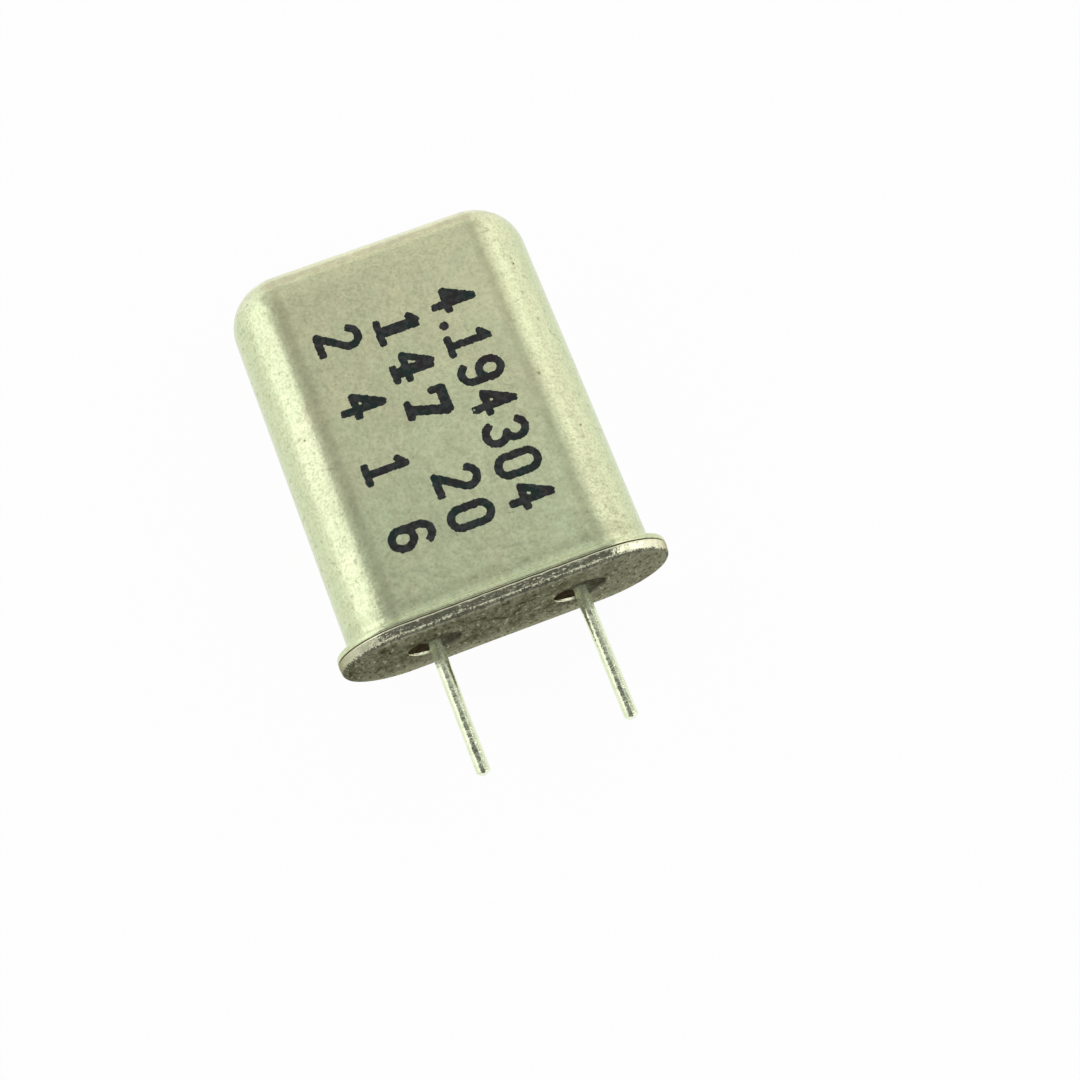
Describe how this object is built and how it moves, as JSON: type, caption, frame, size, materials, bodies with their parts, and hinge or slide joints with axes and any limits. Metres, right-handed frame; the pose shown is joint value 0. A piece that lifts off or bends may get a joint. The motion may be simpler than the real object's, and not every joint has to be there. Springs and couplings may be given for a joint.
{
  "type": "crystal oscillator",
  "caption": "Quartz crystal unit: a flat drawn metal can with round ends, welded to a flanged base with glass-sealed wire leads, holds a resonant quartz disc.",
  "frame": {"origin": "centre of the base's lower face, midway between the two leads", "axes": "the unit lies on its back: +X across the can, +Y from the base to the closed end of the can, +Z out of the marked front face; the leads run along -Y"},
  "size_m": [0.011, 0.0179, 0.0046],
  "materials": {
    "nickel_silver": "satin",
    "base_metal": "gloss",
    "sealing_glass": "gloss",
    "lead_wire": "satin",
    "nickel_ribbon": "satin",
    "quartz": "satin",
    "silver_film": "satin",
    "silver_cement": "matte",
    "marking_ink": "satin"
  },
  "bodies": {
    "root": {"can": "nickel_silver", "base_plate": "base_metal", "glass_seal_left": "sealing_glass", "glass_seal_right": "sealing_glass", "lead_left": "lead_wire", "lead_right": "lead_wire", "spring_clip_left": "nickel_ribbon", "spring_clip_right": "nickel_ribbon", "quartz_blank": "quartz", "electrode_front": "silver_film", "electrode_back": "silver_film", "cement_left": "silver_cement", "cement_right": "silver_cement"}
  },
  "joints": []
}
